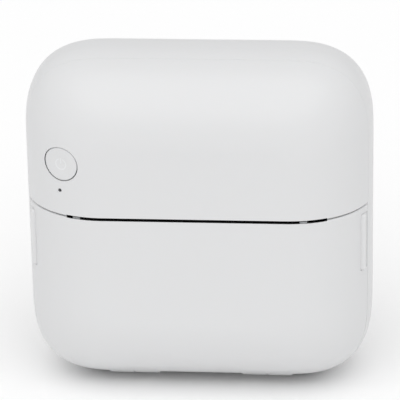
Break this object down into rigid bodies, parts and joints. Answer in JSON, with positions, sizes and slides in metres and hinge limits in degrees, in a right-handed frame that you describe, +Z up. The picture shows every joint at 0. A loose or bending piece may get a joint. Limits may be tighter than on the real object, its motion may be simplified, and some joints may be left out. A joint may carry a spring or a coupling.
{
  "type": "thermal label printer",
  "caption": "Pocket thermal label printer: white pebble-shaped case, swing-down front lid, paper slot, round power button and side release buttons.",
  "frame": {"origin": "middle of the overall box on the plane the rubber feet stand on", "axes": "+X to the printer's right, +Y from the front to the back, +Z up"},
  "size_m": [0.082, 0.04, 0.0826],
  "materials": {
    "aluminium": "satin",
    "brass": "satin",
    "card": "matte",
    "case_white": "satin",
    "ceramic": "gloss",
    "circuit_board": "gloss",
    "dark_plastic": "matte",
    "flex": "gloss",
    "foil": "satin",
    "grey_plastic": "matte",
    "ivory_plastic": "satin",
    "led": "gloss",
    "light_guide": "clear",
    "paper": "matte",
    "rubber": "matte",
    "steel": "brushed",
    "wire_red": "matte"
  },
  "bodies": {
    "case": {"rear_shell": "case_white", "front_shell": "case_white", "rubber_feet": "rubber", "case_screws": "steel", "power_switch": "steel", "switch_board": "circuit_board", "switch_board_screws": "steel", "status_led": "led", "status_light_pipe": "light_guide", "print_chassis": "grey_plastic", "chassis_screws": "steel", "gear_cover": "dark_plastic", "gear_cover_screws": "steel", "gear_pins": "steel", "drive_motor": "steel", "motor_screws": "steel", "head_pivot_pin": "steel", "head_flex_cable": "flex", "tear_bar": "steel", "paper_bin": "grey_plastic", "paper_sensor": "dark_plastic", "main_board": "circuit_board", "board_parts": "dark_plastic", "board_screws": "steel", "usb_port": "steel", "battery_cell": "foil", "battery_lead": "wire_red", "hinge_pins": "steel", "head_spring_left": "steel", "head_spring_right": "steel"},
    "lid": {"paper_lid": "case_white", "lid_inner_frame": "grey_plastic", "lid_frame_screws": "steel", "platen_bushes": "ivory_plastic", "release_spring_left": "steel", "release_spring_right": "steel"},
    "platen": {"platen_rubber": "rubber", "platen_shaft": "steel", "platen_gear": "dark_plastic"},
    "idler": {"idler_gear": "ivory_plastic"},
    "reduction": {"reduction_gear": "ivory_plastic"},
    "motor_rotor": {"motor_shaft": "steel", "motor_pinion": "brass"},
    "paper": {"paper_roll": "paper", "roll_core": "card"},
    "power_key": {"power_button": "case_white", "power_switch_plunger": "dark_plastic"},
    "release_left": {"release_button_left": "case_white"},
    "release_right": {"release_button_right": "case_white"},
    "head": {"thermal_head": "ceramic", "head_heatsink": "aluminium"}
  },
  "joints": [
    {"name": "lid_hinge", "type": "hinge", "parent": "case", "child": "lid", "pos_m": [0, -0.007, 0.0025], "axis": [1, 0, 0], "range_deg": [0, 95]},
    {"name": "platen_spin", "type": "hinge", "parent": "lid", "child": "platen", "pos_m": [0, -0.0104, 0.0418], "axis": [1, 0, 0], "continuous": true},
    {"name": "idler_spin", "type": "hinge", "parent": "case", "child": "idler", "pos_m": [0, -0.00229, 0.04466], "axis": [1, 0, 0], "continuous": true},
    {"name": "reduction_spin", "type": "hinge", "parent": "case", "child": "reduction", "pos_m": [0, 0.00156, 0.05098], "axis": [1, 0, 0], "continuous": true},
    {"name": "motor_spin", "type": "hinge", "parent": "case", "child": "motor_rotor", "pos_m": [0, 0.00437, 0.05974], "axis": [1, 0, 0], "continuous": true},
    {"name": "paper_spin", "type": "hinge", "parent": "case", "child": "paper", "pos_m": [0, 0.0005, 0.0221], "axis": [1, 0, 0], "continuous": true},
    {"name": "power_button_press", "type": "slide", "parent": "case", "child": "power_key", "axis": [0, 1, 0], "range_m": [0, 0.0003], "stiffness_N_per_m": 800, "springref_m": -0.0004},
    {"name": "release_left_press", "type": "slide", "parent": "lid", "child": "release_left", "axis": [1, 0, 0], "range_m": [0, 0.0012], "stiffness_N_per_m": 300, "springref_m": -0.001, "deforming": ["release_spring_left"]},
    {"name": "release_right_press", "type": "slide", "parent": "lid", "child": "release_right", "axis": [-1, 0, 0], "range_m": [0, 0.0012], "stiffness_N_per_m": 300, "springref_m": -0.001, "deforming": ["release_spring_right"]},
    {"name": "head_pivot", "type": "hinge", "parent": "case", "child": "head", "pos_m": [0, -0.005, 0.0486], "axis": [-1, 0, 0], "range_deg": [0, 3], "stiffness_Nm_per_rad": 0.05, "springref_deg": -5.73, "deforming": ["head_spring_left", "head_spring_right"]}
  ],
  "couplings": [
    {"joint": "idler_spin", "follows": "platen_spin", "ratio": -0.72},
    {"joint": "reduction_spin", "follows": "platen_spin", "ratio": 1.5},
    {"joint": "motor_spin", "follows": "platen_spin", "ratio": -5.4}
  ]
}
